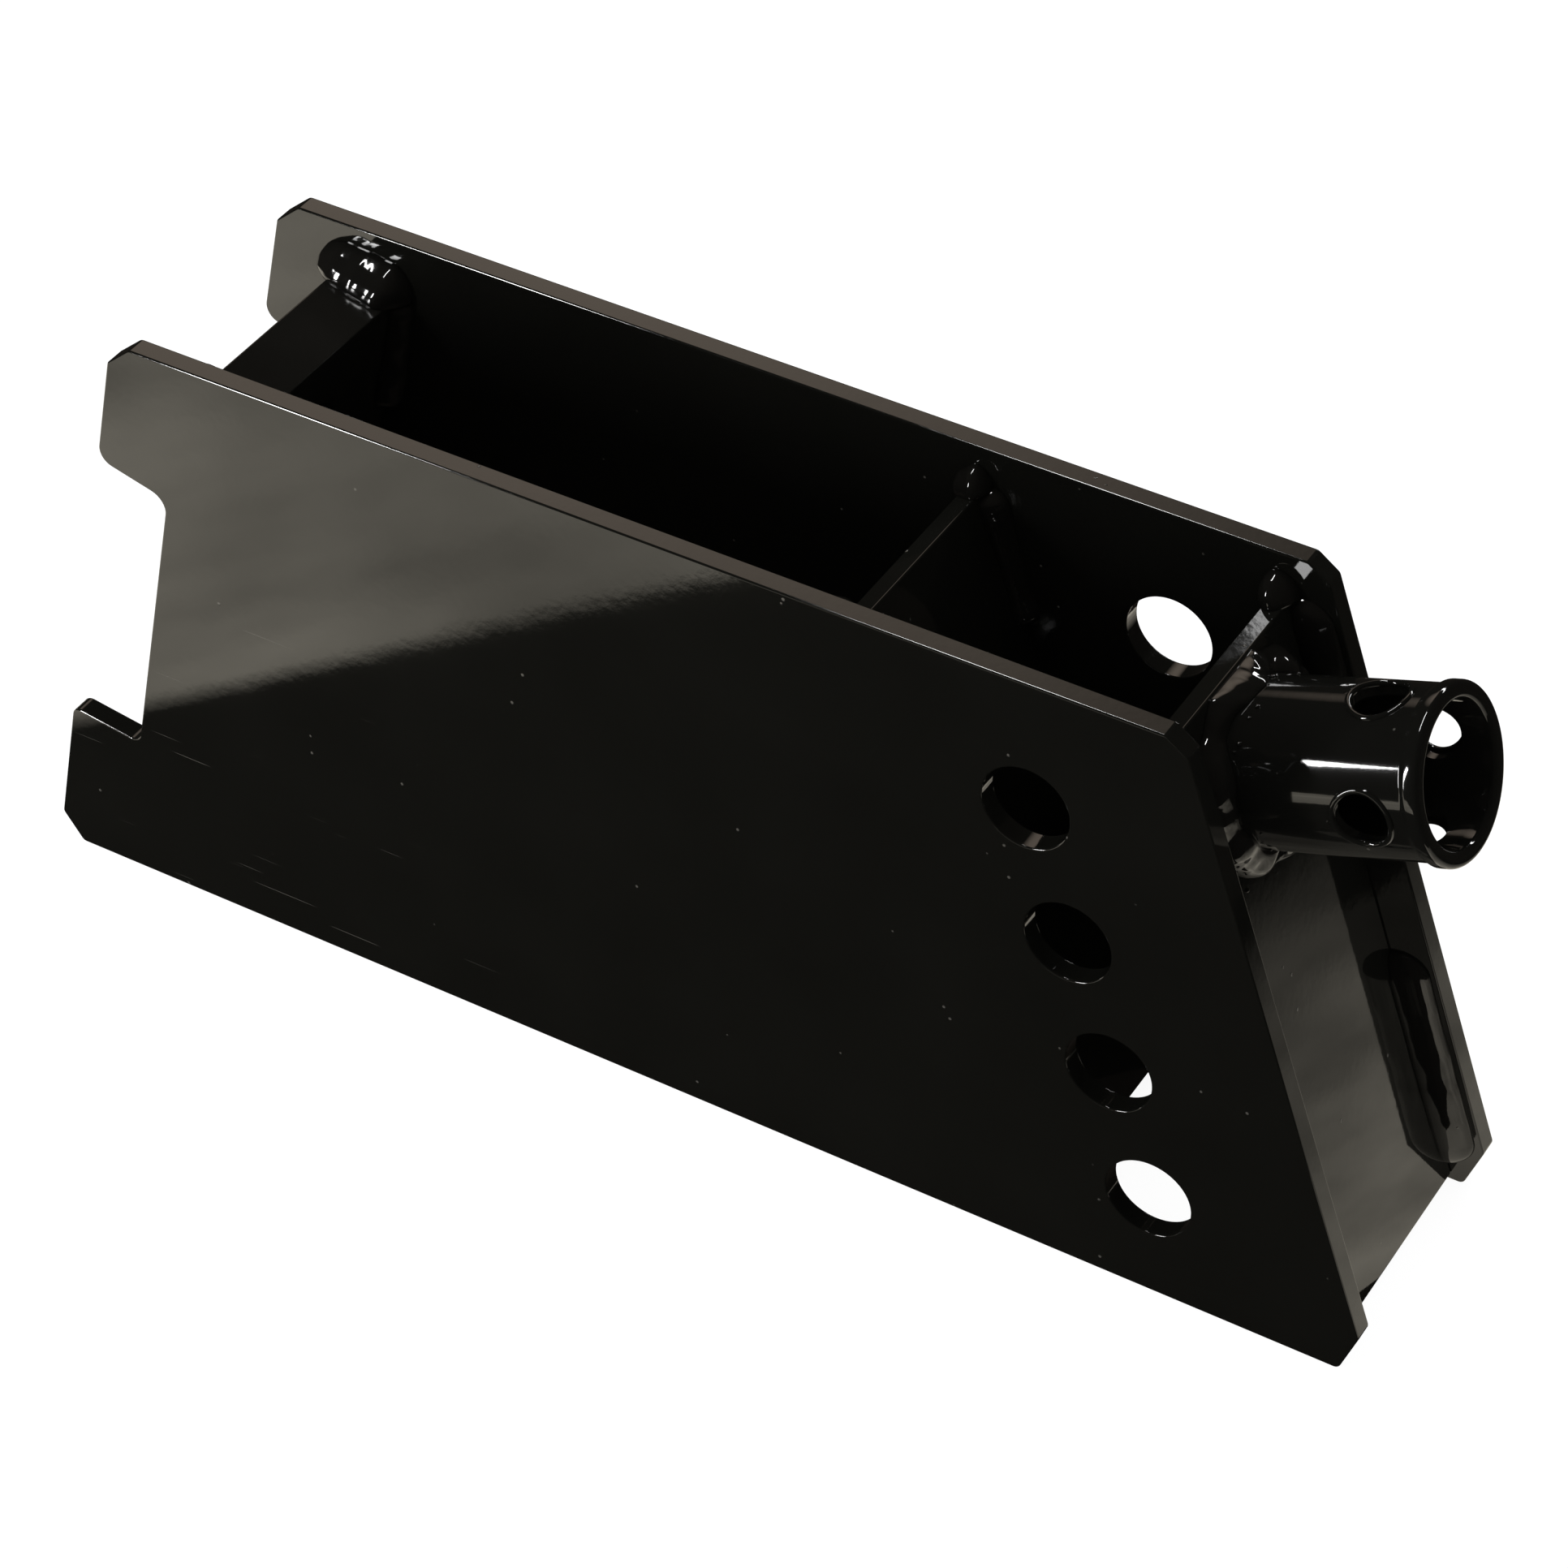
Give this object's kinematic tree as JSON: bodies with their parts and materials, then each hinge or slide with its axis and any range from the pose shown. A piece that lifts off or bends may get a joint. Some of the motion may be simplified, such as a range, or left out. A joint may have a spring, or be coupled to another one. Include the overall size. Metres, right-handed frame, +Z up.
{
  "type": "fifth wheel hitch bracket",
  "caption": "Welded steel bracket with a hooked end, a pinned sleeve between two parallel side plates and a cross-drilled stub tube, for a fifth wheel hitch.",
  "frame": {"origin": "middle of the bounding box, level with the lower edges of the side plates", "axes": "+X from the hooks to the stub tube, +Y from the front side plate to the rear one, +Z up"},
  "size_m": [0.4182, 0.0846, 0.1941],
  "materials": {
    "plate_coat": "gloss black powder coat on cut plate",
    "bar_coat": "gloss black powder coat on thick bar",
    "tube_coat": "gloss black powder coat on tube",
    "weld_coat": "gloss black powder coat over weld beads"
  },
  "bodies": {
    "root": {"side_plate_front": "plate_coat", "side_plate_rear": "plate_coat", "inner_plate": "plate_coat", "end_plate": "plate_coat", "hook_bar": "bar_coat", "stub_tube": "tube_coat", "tube_root_weld": "weld_coat", "hook_bar_top_weld_front": "weld_coat", "hook_bar_top_weld_rear": "weld_coat", "hook_bar_side_weld_front": "weld_coat", "hook_bar_side_weld_rear": "weld_coat", "inner_plate_top_weld_front": "weld_coat", "inner_plate_top_weld_rear": "weld_coat", "inner_plate_side_weld_front": "weld_coat", "inner_plate_side_weld_rear": "weld_coat", "end_plate_top_weld_front": "weld_coat", "end_plate_top_weld_rear": "weld_coat", "end_plate_upper_weld_front": "weld_coat", "end_plate_upper_weld_rear": "weld_coat", "end_plate_seam_weld_front": "weld_coat", "end_plate_seam_weld_rear": "weld_coat"}
  },
  "joints": []
}
